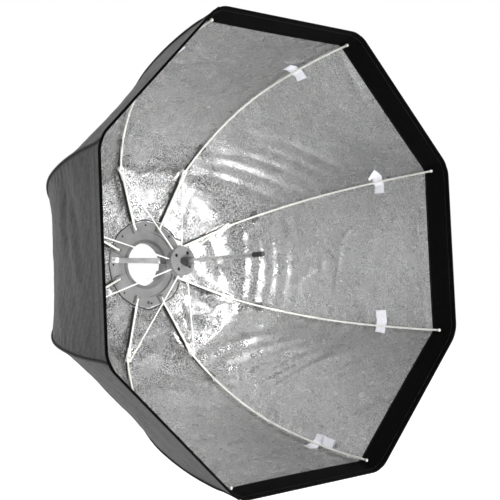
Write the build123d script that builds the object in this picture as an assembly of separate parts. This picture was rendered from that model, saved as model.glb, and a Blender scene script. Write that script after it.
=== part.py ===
from build123d import *
import os
from math import atan2, cos, degrees, radians, sin

os.makedirs("parts", exist_ok=True)

# A folding octabox (eight-sided softbox) for a studio flash head, in millimetres.
# The axis of the light is Y. The light leaves towards -Y, and +Z is up. The origin is the
# centre of the seat that meets the flash head. "Height" below means the distance from the
# plane of the rib pivots towards the open rim, so y = -(height + PIVOT_SETBACK).

# ---------------------------------------------------------------- driving dimensions
RIB_COUNT = 8
SECTOR = 360.0 / RIB_COUNT
FIRST_RIB = SECTOR / 2
PIVOT_SETBACK = 32.0  # from the flash head's seat to the rib pivots
RIM_RADIUS = 475.0  # to a corner of the open rim
RIM_HEIGHT = 525.0

# speedring casting
RING_RADIUS = 98.0
RING_FACE = -6.0  # height of the ring's front face
RING_BACK = -20.0
DISH_RADIUS = 76.0
DISH_FLOOR = -12.0
DISH_BACK = -16.0
LUG_INNER = 79.0
LUG_HALF_WIDTH = 7.0
LUG_FRONT = 4.6
SLOT_HALF_WIDTH = 2.9
SLOT_INNER = 82.6
SLOT_FLOOR = -3.9
SCREW_CIRCLE = 90.6
SCREW_SHANK_RADIUS = 1.5
SCREW_HEAD_RADIUS = 2.4
SCREW_HEAD_SINK = 3.0  # depth of the counterbore
SCREW_HEAD_BELOW = 1.4  # how far the head's top is below the ring's face, plus 1
SCREW_SOCKET_RADIUS = 1.1
BOSS_SCREW = 6  # the screw that stands beside the boss hole
BOSS_SCREW_ASIDE = 8.6
LOBE_RADIUS = 8.0
LOBE_CIRCLE = 92.5
BOSS_RADIUS = 12.5
BOSS_CIRCLE = 88.5
BOSS_HOLE_RADIUS = 4.1
BACK_PLATE_THICK = 2.5
BACK_PLATE_INSET = 1.0

# bayonet insert for the flash head
BORE_RADIUS = 50.0
INSERT_WALL = 4.0
INSERT_LIP = 2.0
INSERT_FLANGE_RADIUS = 74.0
INSERT_FLANGE_THICK = 4.0
CLAW_COUNT = 3
CLAW_LENGTH = 9.0
CLAW_ANGLE = 26.0
CLAW_LIP = 4.0
CLAW_LIP_THICK = 2.6
CLAW_RELIEF = 0.8  # the claws stand back from the bore's wall
INSERT_LIP_WIDTH = 3.5
INSERT_STEP_WIDTH = 9.0
INSERT_SCREW_COUNT = 4
INSERT_SCREW_CIRCLE = 66.0
INSERT_SCREW_SHANK = 1.4
INSERT_SCREW_HEAD = 2.8
INSERT_SCREW_REACH = 2.5

# ribs
PIVOT_RADIUS = 87.0
PIN_RADIUS = 1.2
PIN_CLEARANCE = 0.08
ARM_TUBE_RADIUS = 2.5
ARM_EYE_RADIUS = 3.4
ARM_EYE_HALF = 2.4
KNUCKLE = (230.0, 35.0)
ROD_RADIUS = 2.2
ROD_EYE_RADIUS = 3.6
ROD_EYE_HALF = 2.4
ROD_START_ANGLE = 35.0  # from the radial direction towards the light's
ROD_ARCS = ((470.0, 71.5), (1120.0, 83.2))  # radius of each arc and the angle that it ends at
TIP_BEAD_RADIUS = 3.4
EAR_INNER = 2.9
EAR_OUTER = 4.3
EAR_RADIUS = 4.6
SOCKET_RADIUS = 4.3
SOCKET_LENGTH = 20.0
SOCKET_SETBACK = 7.5  # from the knuckle to the end of the socket
EAR_LENGTH = 13.0
KNUCKLE_PIN_PROUD = 0.3
KNUCKLE_HEAD_RADIUS = 2.2
KNUCKLE_HEAD_THICK = 0.9

# stretchers and the runner on the shaft
RUNNER_PIVOT = (28.0, 126.0)
STRETCHER_RADIUS = 1.5
STRETCHER_OFFSET = 6.6  # beside the rib's plane
STRETCHER_EYE_HALF = 1.0
STRETCHER_EYE_RADIUS = 3.2
STRETCHER_SLOT_GAP = 0.4
STRETCHER_PIN_HALF = 5.0
RUNNER_TRAVEL = 211.0
DISC_RADIUS = 32.5
DISC_FRONT = 136.0
DISC_THICK = 3.0
CARRIER_BACK = 118.0
CARRIER_COLLAR_RADIUS = 13.5
CARRIER_COLLAR_BACK = 106.0
DISC_SCREW_CIRCLE = 21.5
DISC_SCREW_ANGLE = 54.0
DISC_SCREW_COUNT = 4
DISC_SCREW_SHANK = 1.5
DISC_SCREW_HEAD = 2.7
DISC_SCREW_SOCKET = 1.4
CARRIER_SLOT_INNER = 24.0
CARRIER_WEB = 2.5  # left in front of the slots
SLEEVE_RADIUS = 8.0
SLEEVE_FRONT = 165.0
SHAFT_RADIUS = 4.5
SHAFT_WALL = 1.5
SHAFT_BACK = 72.0
CAP_BACK = SLEEVE_FRONT + RUNNER_TRAVEL + 1.0
CAP_FRONT = CAP_BACK + 30.0
SHAFT_FRONT = CAP_FRONT - 10.0
CAP_RADIUS = 5.5
SHAFT_CLEARANCE = 0.08

# bow that carries the shaft across the bore
BOW_ANGLE = 173.0
BOW_WIDTH = 12.0
BOW_THICK = 2.5
BOW_TOP = 82.0
BOW_TOP_HALF = 27.0
BOW_FOOT_INNER = 79.0
BOW_FOOT_OUTER = 96.0
HUB_RADIUS = 10.5
HUB_FRONT = 98.0
NUT_ACROSS = 14.0
NUT_THICK = 6.0
BOW_BEND_RADIUS = 9.0
BOW_SCREW_INSET = 4.0
BOW_SCREW_SHANK = 1.6
BOW_SCREW_HEAD = 3.0
BOW_SCREW_HEAD_THICK = 1.8
BOW_SCREW_SLOT_HALF = 0.5

# latch in the runner's sleeve
LATCH_HEIGHT = 154.0
LATCH_RADIUS = 2.6
LATCH_CLEARANCE = 0.08
LATCH_OUT = 14.2  # how far the button's face stands from the axis
LATCH_IN = 9.6
LATCH_POCKET = 6.4
LATCH_HOUSING_OUT = 11.6
LATCH_HOUSING_WIDTH = 9.5
LATCH_HOUSING_LENGTH = 13.0
SPRING_WIRE = 0.35
SPRING_RADIUS = 1.9
SPRING_TURNS = 3

# canopy: one sewn sheet, described along the middle of a gore
CLOTH_THICK = 1.5
CLOTH_START = (96.0, -8.0)
CLOTH_START_ANGLE = 13.8
CLOTH_STRAIGHT = 95.0
CLOTH_ARCS = ((94.0, 38.6), (476.0, 72.4), (1150.0, 83.3))
CLOTH_OPENING = 102.5
CLOTH_GAP = 0.25  # kept between neighbouring panels at the middle of a gore


# ---------------------------------------------------------------- helpers
def axial(radius, low, high):
    """A cylinder on the light's axis, between two heights."""
    middle = -((low + high) / 2 + PIVOT_SETBACK)
    return Pos(0, middle, 0) * Rot(90, 0, 0) * Cylinder(radius, high - low)


def ring(outer, inner, low, high):
    return axial(outer, low, high) - axial(inner, low - 1, high + 1)


def post(across, along, radius, low, high):
    """A cylinder parallel to the light's axis, at a place across it."""
    return Pos(across, 0, along) * axial(radius, low, high)


def block(x_low, x_high, low, high, half_width):
    """A box in a rib's plane: its radial range, its heights and its half width."""
    size = (x_high - x_low, high - low, 2 * half_width)
    middle = ((x_low + x_high) / 2, -((low + high) / 2 + PIVOT_SETBACK), 0)
    return Pos(*middle) * Box(*size)


def turned(part, angle):
    """Turns a part made at azimuth 0 round the light's axis."""
    return Rot(0, -angle, 0) * part


def spot(place, offset=0.0):
    """A radius and a height in a rib's plane as a point."""
    return Vector(place[0], -(place[1] + PIVOT_SETBACK), offset)


def cross_pin(place, radius, low, high):
    """A cylinder along the tangent, between two offsets from the rib's plane."""
    at = spot(place, (low + high) / 2)
    return Pos(at.X, at.Y, at.Z) * Cylinder(radius, high - low)


def bar(start, end, radius):
    """A round bar from one point to another."""
    way = end - start
    plane = Plane(origin=start, z_dir=way)
    return extrude(plane * Circle(radius), amount=way.length)


def between(start, end, share):
    return start + (end - start) * share


def every_rib(make):
    return [turned(make(), FIRST_RIB + SECTOR * n) for n in range(RIB_COUNT)]


def chain(start, angle, arcs, shift=0.0):
    """Tangent arcs in a rib's plane. A positive shift moves the line outwards, all along."""
    here = (start[0] + shift * sin(radians(angle)), start[1] - shift * cos(radians(angle)))
    edges = []
    for radius, end_angle in arcs:
        a, b = radians(angle), radians(end_angle)
        m = (a + b) / 2
        r = radius + shift
        middle = (here[0] + r * (sin(m) - sin(a)), here[1] + r * (cos(a) - cos(m)))
        end = (here[0] + r * (sin(b) - sin(a)), here[1] + r * (cos(a) - cos(b)))
        edges.append(ThreePointArc(spot(here), spot(middle), spot(end)))
        here, angle = end, end_angle
    return edges, here


def save(part, name):
    solids = part.solids() if hasattr(part, "solids") else [s for p in part for s in p.solids()]
    group = Compound(children=list(solids)) if len(solids) > 1 else solids[0]
    export_step(group, f"parts/{name}.step")


# ---------------------------------------------------------------- speedring
def make_casting():
    """The light-alloy ring: a rim, a dished floor, eight slotted lugs and the screw lobes."""
    body = ring(RING_RADIUS, DISH_RADIUS, RING_BACK, RING_FACE)
    body += ring(DISH_RADIUS + 1, BORE_RADIUS + INSERT_WALL, DISH_BACK, DISH_FLOOR)
    for n in range(RIB_COUNT):
        lobe = post(LOBE_CIRCLE, 0, LOBE_RADIUS, RING_BACK, RING_FACE)
        body += turned(lobe, SECTOR * n)
        lug = block(LUG_INNER, RING_RADIUS - 1, RING_FACE - 1, LUG_FRONT, LUG_HALF_WIDTH)
        body += turned(lug, FIRST_RIB + SECTOR * n)
    boss = post(BOSS_CIRCLE, 0, BOSS_RADIUS, RING_BACK, RING_FACE)
    body += turned(boss, 270)
    body -= axial(DISH_RADIUS, RING_FACE - 0.01, LUG_FRONT + 1)
    for n in range(RIB_COUNT):
        slot = block(SLOT_INNER, RING_RADIUS + 9, SLOT_FLOOR, LUG_FRONT + 1, SLOT_HALF_WIDTH)
        hole = cross_pin((PIVOT_RADIUS, 0), PIN_RADIUS, -LUG_HALF_WIDTH - 1, LUG_HALF_WIDTH + 1)
        body -= turned(slot + hole, FIRST_RIB + SECTOR * n)
    for n in range(RIB_COUNT):
        body -= turned(ring_screw(n, 0.0), SECTOR * n)
    for screw in insert_screws(0.0):
        body -= screw
    return body - boss_hole()


def boss_hole():
    return turned(post(BOSS_CIRCLE, 0, BOSS_HOLE_RADIUS, RING_BACK - 5, RING_FACE + 1), 270)


def ring_screw(n, sink):
    """A cap screw through the casting and the back plate. The bottom one stands beside the boss hole."""
    seat = RING_FACE - SCREW_HEAD_SINK
    shank = screw_post(n, SCREW_SHANK_RADIUS, RING_BACK - BACK_PLATE_THICK, seat)
    head = screw_post(n, SCREW_HEAD_RADIUS, seat, RING_FACE + 1 - sink)
    return shank + head


def screw_post(n, radius, low, high):
    aside = BOSS_SCREW_ASIDE if n == BOSS_SCREW else 0.0
    return post(SCREW_CIRCLE, aside, radius, low, high)


def make_ring_screws():
    screws = []
    for n in range(RIB_COUNT):
        socket = screw_post(n, SCREW_SOCKET_RADIUS, RING_FACE - 1.6, RING_FACE + 1)
        screws.append(turned(ring_screw(n, SCREW_HEAD_BELOW) - socket, SECTOR * n))
    return screws


def make_back_plate():
    outer, inner = RING_RADIUS - BACK_PLATE_INSET, DISH_RADIUS + BACK_PLATE_INSET / 2
    plate = ring(outer, inner, RING_BACK - BACK_PLATE_THICK, RING_BACK)
    for n in range(RIB_COUNT):
        plate -= turned(ring_screw(n, 0.0), SECTOR * n)
    return plate - boss_hole()


def make_insert():
    """The bayonet insert: a bored tube with a lip, a flange and three claws behind it."""
    seat = -PIVOT_SETBACK
    body = axial(BORE_RADIUS + INSERT_WALL, seat, DISH_FLOOR)
    lip_radius = BORE_RADIUS + INSERT_WALL + INSERT_LIP_WIDTH
    body += axial(lip_radius, DISH_FLOOR, DISH_FLOOR + INSERT_LIP)
    body += axial(INSERT_FLANGE_RADIUS, DISH_BACK - INSERT_FLANGE_THICK, DISH_BACK)
    body += axial(BORE_RADIUS + INSERT_STEP_WIDTH, seat, DISH_BACK)
    body -= axial(BORE_RADIUS, seat - 1, DISH_FLOOR + INSERT_LIP + 1)
    inner, outer = BORE_RADIUS + CLAW_RELIEF, BORE_RADIUS + INSERT_WALL
    claw_end = seat - CLAW_LENGTH
    claw = ring(outer, inner, claw_end, seat + 1)
    claw += ring(outer + CLAW_LIP, inner, claw_end, claw_end + CLAW_LIP_THICK)
    reach = 2 * BORE_RADIUS
    side = reach * sin(radians(CLAW_ANGLE / 2)) / cos(radians(CLAW_ANGLE / 2))
    outline = Plane.XZ * Polyline((0, 0), (reach, -side), (reach, side), close=True)
    wedge = extrude(make_face(outline), amount=200, both=True)
    for n in range(CLAW_COUNT):
        body += turned(claw & wedge, 90 + 360 / CLAW_COUNT * n)
    for screw in insert_screws(0.0):
        body -= screw
    return body


def insert_screws(sink):
    """Four countersunk screws from behind hold the insert's flange to the casting."""
    back = DISH_BACK - INSERT_FLANGE_THICK
    screws = []
    for n in range(INSERT_SCREW_COUNT):
        reach = DISH_BACK + INSERT_SCREW_REACH
        shank = post(INSERT_SCREW_CIRCLE, 0, INSERT_SCREW_SHANK, back, reach)
        head = post(INSERT_SCREW_CIRCLE, 0, INSERT_SCREW_HEAD, back - 0.01 + sink, back + 2)
        screws.append(turned(shank + head, SECTOR / 2 + 90 * n))
    return screws


def make_rib_pins():
    def pin():
        return cross_pin((PIVOT_RADIUS, 0), PIN_RADIUS, -LUG_HALF_WIDTH, LUG_HALF_WIDTH)

    return every_rib(pin)


# ---------------------------------------------------------------- bow and shaft
def make_bow():
    """A bent flat strap: two feet on the ring's face, two legs and a level top."""
    foot = RING_FACE
    front = [
        (BOW_FOOT_OUTER, foot),
        (BOW_FOOT_INNER, foot),
        (BOW_TOP_HALF, BOW_TOP),
        (-BOW_TOP_HALF, BOW_TOP),
        (-BOW_FOOT_INNER, foot),
        (-BOW_FOOT_OUTER, foot),
    ]
    path = FilletPolyline(*[spot(p) for p in front], radius=BOW_BEND_RADIUS)
    face = make_face(path + offset_strap(front))
    bow = extrude(face, amount=BOW_WIDTH / 2, both=True)
    bow -= axial(SHAFT_RADIUS, BOW_TOP - 5, BOW_TOP + 10)
    for side in (-1, 1):
        across = side * (BOW_FOOT_OUTER - BOW_SCREW_INSET)
        bow -= post(across, 0, BOW_SCREW_SHANK, foot - 1, foot + 10)
    return turned(bow, BOW_ANGLE)


def offset_strap(points):
    """The strap's other face, joined to the first by its two square ends."""
    slope = atan2(BOW_TOP - RING_FACE, BOW_FOOT_INNER - BOW_TOP_HALF)
    inset = BOW_THICK * (1 - cos(slope)) / sin(slope)
    shifts = (0, inset, inset, -inset, -inset, 0)
    raised = [(x + shift, h + BOW_THICK) for (x, h), shift in zip(points, shifts)]
    outer = FilletPolyline(*[spot(p) for p in raised], radius=BOW_BEND_RADIUS)
    ends = Line(spot(points[0]), spot(raised[0])) + Line(spot(points[-1]), spot(raised[-1]))
    return outer + ends


def bow_screws():
    screws = []
    seat = RING_FACE + BOW_THICK
    for side in (-1, 1):
        across = side * (BOW_FOOT_OUTER - BOW_SCREW_INSET)
        shank = post(across, 0, BOW_SCREW_SHANK, RING_FACE, seat)
        head = post(across, 0, BOW_SCREW_HEAD, seat, seat + BOW_SCREW_HEAD_THICK)
        slot = block(across - 4, across + 4, seat + 1, seat + 6, BOW_SCREW_SLOT_HALF)
        screws.append(turned(shank + head - slot, BOW_ANGLE))
    return screws


def make_shaft():
    return ring(SHAFT_RADIUS, SHAFT_RADIUS - SHAFT_WALL, SHAFT_BACK, SHAFT_FRONT)


def make_hub_collar():
    collar = ring(HUB_RADIUS, SHAFT_RADIUS, BOW_TOP + BOW_THICK, HUB_FRONT)
    return fillet(collar.edges().group_by(Axis.Y)[0].sort_by(SortBy.RADIUS)[-1], 1.5)


def make_shaft_nut():
    plate = extrude(Plane.XZ * RegularPolygon(NUT_ACROSS / 2, 6, major_radius=False), amount=NUT_THICK)
    nut = Pos(0, -(BOW_TOP - NUT_THICK + PIVOT_SETBACK), 0) * plate
    return nut - axial(SHAFT_RADIUS, BOW_TOP - 20, BOW_TOP + 5)


def make_cap():
    cap = axial(CAP_RADIUS, CAP_BACK, CAP_FRONT)
    cap = fillet(cap.edges().group_by(Axis.Y)[0], 1.8)
    return cap - axial(SHAFT_RADIUS, CAP_BACK - 1, SHAFT_FRONT)


# ---------------------------------------------------------------- runner
def disc_screws(head_front):
    screws = []
    for n in range(DISC_SCREW_COUNT):
        shank = post(DISC_SCREW_CIRCLE, 0, DISC_SCREW_SHANK, CARRIER_BACK + 2, DISC_FRONT - 2)
        head = post(DISC_SCREW_CIRCLE, 0, DISC_SCREW_HEAD, DISC_FRONT - 2, head_front)
        screws.append(turned(shank + head, DISC_SCREW_ANGLE + 90 * n))
    return screws


def make_front_disc():
    disc = ring(DISC_RADIUS, SLEEVE_RADIUS, DISC_FRONT - DISC_THICK, DISC_FRONT)
    disc = chamfer(disc.edges().group_by(Axis.Y)[0].sort_by(SortBy.RADIUS)[-1], 0.8)
    for screw in disc_screws(DISC_FRONT + 1):
        disc -= screw
    return disc


def make_carrier():
    """The slotted puck that the stretchers hinge in, with a collar behind it."""
    puck_front = DISC_FRONT - DISC_THICK
    body = axial(DISC_RADIUS, CARRIER_BACK, puck_front)
    body += axial(CARRIER_COLLAR_RADIUS, CARRIER_COLLAR_BACK, CARRIER_BACK)
    body -= axial(SLEEVE_RADIUS, CARRIER_COLLAR_BACK - 1, puck_front + 1)
    half = STRETCHER_RADIUS + STRETCHER_SLOT_GAP
    for n in range(RIB_COUNT):
        slot_front = puck_front - CARRIER_WEB
        slot = block(CARRIER_SLOT_INNER, DISC_RADIUS + 5, CARRIER_BACK - 1, slot_front, half)
        slot = Pos(0, 0, STRETCHER_OFFSET) * slot
        body -= turned(slot, FIRST_RIB + SECTOR * n)
        body -= turned(stretcher_pin(), FIRST_RIB + SECTOR * n)
    for screw in disc_screws(DISC_FRONT + 1):
        body -= screw
    return body


def stretcher_pin():
    low, high = STRETCHER_OFFSET - STRETCHER_PIN_HALF, STRETCHER_OFFSET + STRETCHER_PIN_HALF
    return cross_pin(RUNNER_PIVOT, PIN_RADIUS, low, high)


def make_disc_screws():
    screws = []
    for n, screw in enumerate(disc_screws(DISC_FRONT - 0.9)):
        socket = post(DISC_SCREW_CIRCLE, 0, DISC_SCREW_SOCKET, DISC_FRONT - 1.7, DISC_FRONT + 1)
        screws.append(screw - turned(socket, DISC_SCREW_ANGLE + 90 * n))
    return screws


def make_sleeve():
    """The tube that slides on the shaft. A small housing under it holds the latch button."""
    body = axial(SLEEVE_RADIUS, CARRIER_COLLAR_BACK, SLEEVE_FRONT)
    housing = Pos(0, -(LATCH_HEIGHT + PIVOT_SETBACK), -LATCH_HOUSING_OUT / 2)
    body += housing * Box(LATCH_HOUSING_WIDTH, LATCH_HOUSING_LENGTH, LATCH_HOUSING_OUT)
    body -= axial(SHAFT_RADIUS + SHAFT_CLEARANCE, CARRIER_COLLAR_BACK - 1, SLEEVE_FRONT + 1)
    return body - latch_bore(LATCH_RADIUS + LATCH_CLEARANCE, LATCH_POCKET, LATCH_HOUSING_OUT + 1)


def latch_bore(radius, inner, outer):
    """A cylinder along -Z through the latch's place, between two distances from the axis."""
    return Pos(0, -(LATCH_HEIGHT + PIVOT_SETBACK), -(inner + outer) / 2) * Cylinder(radius, outer - inner)


def make_button():
    button = latch_bore(LATCH_RADIUS, LATCH_IN, LATCH_OUT)
    return fillet(button.edges().sort_by(Axis.Z)[0], 0.9)


def make_latch_spring():
    """Three turns of wire between the pocket's floor and the button, drawn as separate rings."""
    room = LATCH_IN - LATCH_POCKET - 2 * SPRING_WIRE
    coils = []
    for n in range(SPRING_TURNS + 1):
        out = LATCH_POCKET + SPRING_WIRE + room * n / SPRING_TURNS
        centre = Pos(0, -(LATCH_HEIGHT + PIVOT_SETBACK), -out)
        coils.append(centre * Torus(SPRING_RADIUS, SPRING_WIRE * 0.9))
    return coils


# ---------------------------------------------------------------- ribs
def make_arm():
    """The inner rib: an eye in the ring's lug, a tube and a two-eared socket at the knuckle."""
    start, end = spot((PIVOT_RADIUS, 0)), spot(KNUCKLE)
    length = (end - start).length
    root = between(start, end, 2.0 / length)
    socket_end = between(start, end, 1 - SOCKET_SETBACK / length)
    socket_start = between(start, end, 1 - (SOCKET_SETBACK + SOCKET_LENGTH) / length)
    body = cross_pin((PIVOT_RADIUS, 0), ARM_EYE_RADIUS, -ARM_EYE_HALF, ARM_EYE_HALF)
    body += bar(root, socket_end, ARM_TUBE_RADIUS)
    body += bar(socket_start, socket_end, SOCKET_RADIUS)
    slope = degrees(atan2(KNUCKLE[1], KNUCKLE[0] - PIVOT_RADIUS))
    ear = Cylinder(EAR_RADIUS, EAR_OUTER - EAR_INNER)
    ear_side = Box(EAR_LENGTH, 1.4 * SOCKET_RADIUS, EAR_OUTER - EAR_INNER)
    ear += Pos(-EAR_LENGTH / 2, 0, 0) * ear_side
    ear = Rot(0, 0, -slope) * ear
    for side in (-1, 1):
        body += Pos(end.X, end.Y, side * (EAR_INNER + EAR_OUTER) / 2) * ear
    body -= cross_pin((PIVOT_RADIUS, 0), PIN_RADIUS + PIN_CLEARANCE, -5, 5)
    return body - cross_pin(KNUCKLE, PIN_RADIUS, -6, 6)


def make_knuckle_pin():
    pin = cross_pin(KNUCKLE, PIN_RADIUS, -EAR_OUTER, EAR_OUTER + KNUCKLE_PIN_PROUD)
    back = -EAR_OUTER - KNUCKLE_HEAD_THICK
    return pin + cross_pin(KNUCKLE, KNUCKLE_HEAD_RADIUS, back, -EAR_OUTER)


def make_rod():
    """The outer rib: a bent spring-steel rod with an eye at the knuckle and a bead at its tip."""
    edges, tip = chain(KNUCKLE, ROD_START_ANGLE, ROD_ARCS)
    plane = Plane(origin=spot(KNUCKLE), z_dir=edges[0] % 0)
    body = sweep(plane * Circle(ROD_RADIUS), path=Wire(edges))
    body += Pos(spot(tip)) * Sphere(TIP_BEAD_RADIUS)
    body += cross_pin(KNUCKLE, ROD_EYE_RADIUS, -ROD_EYE_HALF, ROD_EYE_HALF)
    return body - cross_pin(KNUCKLE, PIN_RADIUS + PIN_CLEARANCE, -5, 5)


def make_stretcher():
    """A straight round bar with a flat eye at each end, standing beside the rib's plane."""
    start = spot(RUNNER_PIVOT, STRETCHER_OFFSET)
    end = spot(KNUCKLE, STRETCHER_OFFSET)
    length = (end - start).length
    gap = 2.2 / length  # the bar runs from eye to eye, clear of both pins
    body = bar(between(start, end, gap), between(start, end, 1 - gap), STRETCHER_RADIUS)
    for place in (RUNNER_PIVOT, KNUCKLE):
        low, high = STRETCHER_OFFSET - STRETCHER_EYE_HALF, STRETCHER_OFFSET + STRETCHER_EYE_HALF
        body += cross_pin(place, STRETCHER_EYE_RADIUS, low, high)
    for place in (RUNNER_PIVOT, KNUCKLE):
        body -= cross_pin(place, PIN_RADIUS + PIN_CLEARANCE, 0, 2 * STRETCHER_OFFSET)
    return body


# ---------------------------------------------------------------- canopy
def gore_band():
    """The cloth's section along the middle of a gore, as a thin face."""
    lip = (RIM_RADIUS * cos(radians(SECTOR / 2)), RIM_HEIGHT)
    sides = []
    for shift in (0.0, CLOTH_THICK):
        a = radians(CLOTH_START_ANGLE)
        start = (CLOTH_START[0] + shift * sin(a), CLOTH_START[1] - shift * cos(a))
        bend = (CLOTH_START[0] + CLOTH_STRAIGHT * cos(a), CLOTH_START[1] + CLOTH_STRAIGHT * sin(a))
        edges, end = chain(bend, CLOTH_START_ANGLE, CLOTH_ARCS, shift)
        moved = (bend[0] + shift * sin(a), bend[1] - shift * cos(a))
        rim = (lip[0] + shift, lip[1])
        run = [Line(spot(start), spot(moved))] + edges + [Line(spot(end), spot(rim))]
        sides.append((run, start, rim))
    (inner, a, b), (outer, c, d) = sides
    ends = [Line(spot(a), spot(c)), Line(spot(b), spot(d))]
    return make_face(Wire(inner + outer + ends))


def make_panel():
    """Two half gores, sewn together along the rib and cut round for the ring."""
    half = SECTOR / 2
    reach = RIM_RADIUS + 60
    gore = turned(extrude(gore_band(), amount=reach * sin(radians(half)), both=True), half)
    far = reach * sin(radians(half)) / cos(radians(half))
    cut = CLOTH_GAP / sin(radians(half))
    outline = Plane.XZ * Polyline((cut, 0), (reach, 0), (reach, far - far * cut / reach), close=True)
    wedge = extrude(make_face(outline), amount=2 * RIM_HEIGHT, both=True)
    piece = gore & wedge
    piece -= axial(CLOTH_OPENING, -60, RIM_HEIGHT)
    return piece + mirror(piece, about=Plane.XY)


# ---------------------------------------------------------------- write every node
save(make_casting(), "speedring_casting")
save(make_back_plate(), "ring_back_plate")
save(make_ring_screws(), "ring_screws")
save(make_insert(), "bayonet_insert")
save(insert_screws(0.1), "insert_screws")
save(make_rib_pins(), "rib_hinge_pins")
save(make_bow(), "shaft_bow")
save(bow_screws(), "bow_screws")
save(make_shaft(), "runner_shaft")
save(make_shaft_nut(), "shaft_nut")
save(make_hub_collar(), "shaft_hub_collar")
save(make_cap(), "shaft_end_cap")
save(make_front_disc(), "runner_front_disc")
save(make_carrier(), "runner_carrier")
save(make_disc_screws(), "runner_screws")
save(make_sleeve(), "runner_sleeve")
save(every_rib(stretcher_pin), "stretcher_pins")
save(make_button(), "latch_button")
save(make_latch_spring(), "latch_spring")

for n in range(RIB_COUNT):
    azimuth = FIRST_RIB + SECTOR * n
    save(turned(make_arm(), azimuth), f"rib_arm_{n + 1}")
    save(turned(make_knuckle_pin(), azimuth), f"knuckle_pin_{n + 1}")
    save(turned(make_rod(), azimuth), f"rib_rod_{n + 1}")
    save(turned(make_stretcher(), azimuth), f"stretcher_{n + 1}")
    save(turned(make_panel(), azimuth), f"canopy_panel_{n + 1}")
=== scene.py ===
import math

import bmesh
import bpy
import numpy as np
from mathutils import Matrix, Vector


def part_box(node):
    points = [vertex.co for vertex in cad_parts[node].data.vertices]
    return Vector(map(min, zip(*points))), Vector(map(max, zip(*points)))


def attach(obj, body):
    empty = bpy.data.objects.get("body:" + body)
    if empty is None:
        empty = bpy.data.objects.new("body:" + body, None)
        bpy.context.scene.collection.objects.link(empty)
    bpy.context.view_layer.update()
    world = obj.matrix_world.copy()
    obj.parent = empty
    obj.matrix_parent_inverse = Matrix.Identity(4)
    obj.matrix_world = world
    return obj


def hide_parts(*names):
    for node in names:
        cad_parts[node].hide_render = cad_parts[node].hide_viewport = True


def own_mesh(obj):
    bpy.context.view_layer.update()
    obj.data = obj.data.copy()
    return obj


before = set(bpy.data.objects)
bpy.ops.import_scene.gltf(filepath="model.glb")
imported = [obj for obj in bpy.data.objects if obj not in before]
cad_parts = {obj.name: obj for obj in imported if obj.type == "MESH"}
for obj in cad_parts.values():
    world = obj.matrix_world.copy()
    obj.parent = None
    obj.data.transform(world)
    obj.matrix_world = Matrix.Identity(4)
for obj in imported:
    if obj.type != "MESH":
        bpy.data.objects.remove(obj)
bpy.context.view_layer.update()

# The octabox's looks: its sewn canopy, webbing, stitching, tabs and bindings, and the finish of
# every metal part. Metres. The light's axis is Y and the light leaves towards -Y. A gore is the
# cloth between two ribs. "Height" is the distance from the rib pivots towards the open rim.

RIBS = 8
SECTOR = 2 * math.pi / RIBS
FIRST_RIB = SECTOR / 2
TAN_HALF = math.tan(SECTOR / 2)
COS_HALF = math.cos(SECTOR / 2)
PIVOT_SETBACK = 0.032

RIM_HEIGHT = -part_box("canopy_panel_1")[0].y - PIVOT_SETBACK
RIM_RADIUS = 0.475
RIM_APOTHEM = RIM_RADIUS * COS_HALF

# The cloth's line along the middle of a gore: where it starts and its angle from the radial
# direction after each stretch, as (radius of the arc, end angle in degrees).
CLOTH_START = (0.096, -0.008)
CLOTH_ANGLE = 13.8
CLOTH_STRAIGHT = 0.095
CLOTH_ARCS = ((0.094, 38.6), (0.476, 72.4), (1.150, 83.3))
CLOTH_BEFORE = 0.02  # the line is also drawn this far back from its start
CLOTH_THICK = 0.0007
OPENING_RADIUS = 0.1002
LINE_STEP = 0.00025

# The rod's line in its rib's plane.
PIVOT = (0.087, 0.0)
KNUCKLE = (0.230, 0.035)
ROD_ANGLE = 35.0
ROD_ARCS = ((0.470, 71.5), (1.120, 83.2))
ROD_RADIUS = 0.0022

# Cloth bands along a rib: name, body prefix, corner radius where it ends, width kept when folded.
BANDS = (
    ("hub", "arm", 0.170, 0.88),
    ("inner", "arm", 0.235, 0.68),
    ("knee", "rod", 0.330, 0.50),
    ("middle", "rod", 0.400, 0.41),
    ("outer", "rod", 0.450, 0.31),
    ("lip", "rod", None, 0.21),
)
HUB_KEEP = BANDS[0][3]
ROW_STEP = 0.0042
HALF_COLUMNS = 30

LIP_WIDTH = 0.055
LIP_THICK = 0.0022
LIP_EDGE = 0.0022
THINNEST = 0.0002
LIP_KEEP = 0.21
# Hems: width and thickness of the roll.
RIM_HEM = (0.0056, 0.0046)
HUB_HEM = (0.0030, 0.0022)
HUB_HEM_IN = 0.0006  # how far the hem's middle lies in from the cloth's edge

# Seams: the corner radius where the arm's part ends, and the sizes of tape, threads and piping.
SEAM_JOINT = 0.235
TAPE_HALF, TAPE_THICK = 0.0045, 0.0010
THREAD_ASIDE, THREAD_LIFT, THREAD_THICK = 0.0030, 0.0011, 0.0006
PIPING, PIPING_LIFT = (0.0036, 0.0034), -0.0022

# Bindings under the arms: body, and the distances from the axis where each starts and ends.
FIN_SPANS = (("arm", 0.106, 0.224), ("rod", 0.236, 0.300))

# Straps under the rods: length along the rod, half width across it and thickness.
KEEPER = (0.011, 0.009, 0.0014)
KEEPER_RADIUS = 0.278
TAB = (0.024, 0.027, 0.0011)
TAB_HEIGHT, TAB_WANDER = 0.350, 0.006
TAB_TWIST = {1: 1.1}  # by rib, in radians
TAB_PULL = {8: 0.4}  # by rib: how much longer one leaf is than the other

LABEL_RIB, LABEL_HEIGHTS = 7, (0.368, 0.396)
LABEL_ASIDE, LABEL_WIDTH, LABEL_THICK = 0.006, 0.017, 0.0005
LABEL_LIFT, LABEL_CURL = 0.0020, 0.0050

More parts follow.
